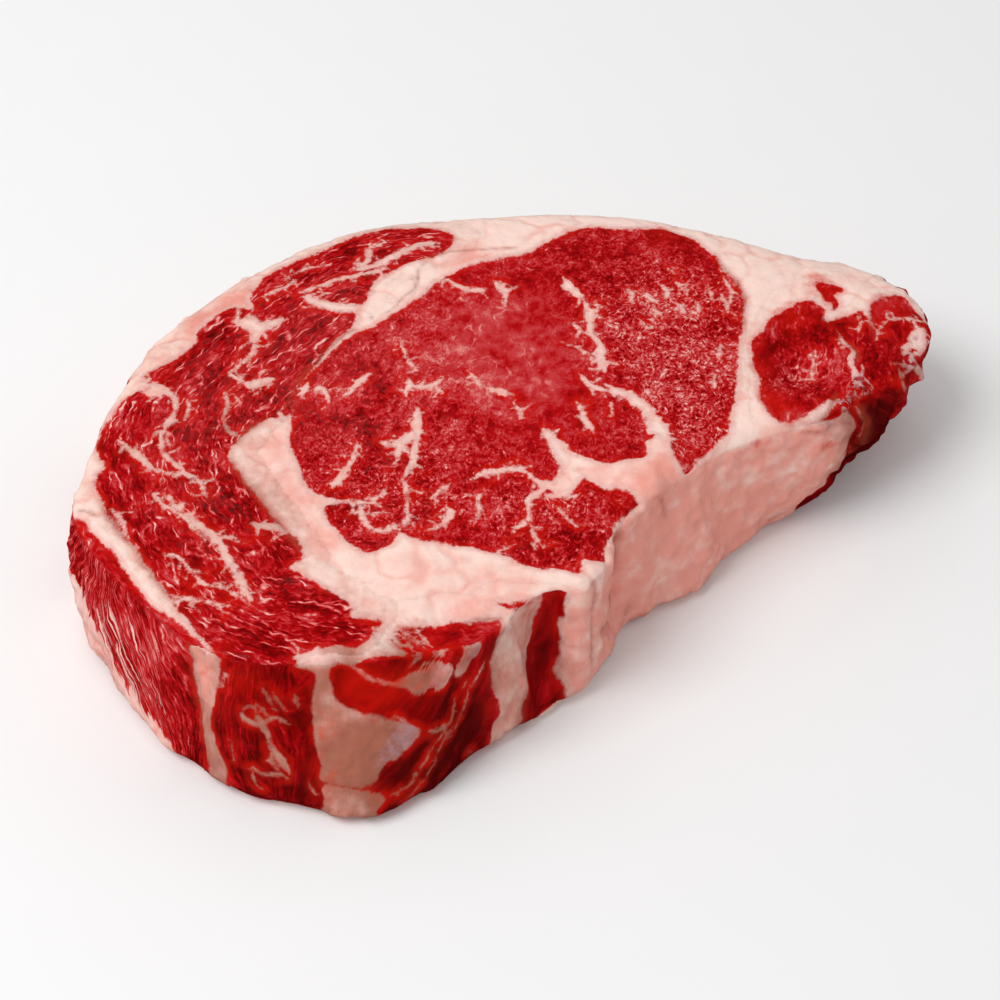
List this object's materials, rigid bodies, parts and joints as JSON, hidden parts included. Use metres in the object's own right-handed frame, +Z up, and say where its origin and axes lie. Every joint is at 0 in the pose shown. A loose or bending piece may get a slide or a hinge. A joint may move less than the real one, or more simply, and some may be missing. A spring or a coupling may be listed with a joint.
{
  "type": "raw ribeye steak",
  "caption": "Thick boneless raw ribeye steak lying flat, with a marbled eye, a curved cap muscle, a pale rind of fat and a narrow tail end.",
  "frame": {"origin": "on the resting face, under the middle of the steak's bounding box", "axes": "+X along the steak towards its narrow tail, +Y towards the back rind of fat, +Z up out of the upper cut face"},
  "size_m": [0.2004, 0.1644, 0.0362],
  "materials": {
    "raw_meat": "moist raw beef, deep red lean with cream-pink fat"
  },
  "bodies": {
    "root": {"steak": "raw_meat"}
  },
  "joints": []
}
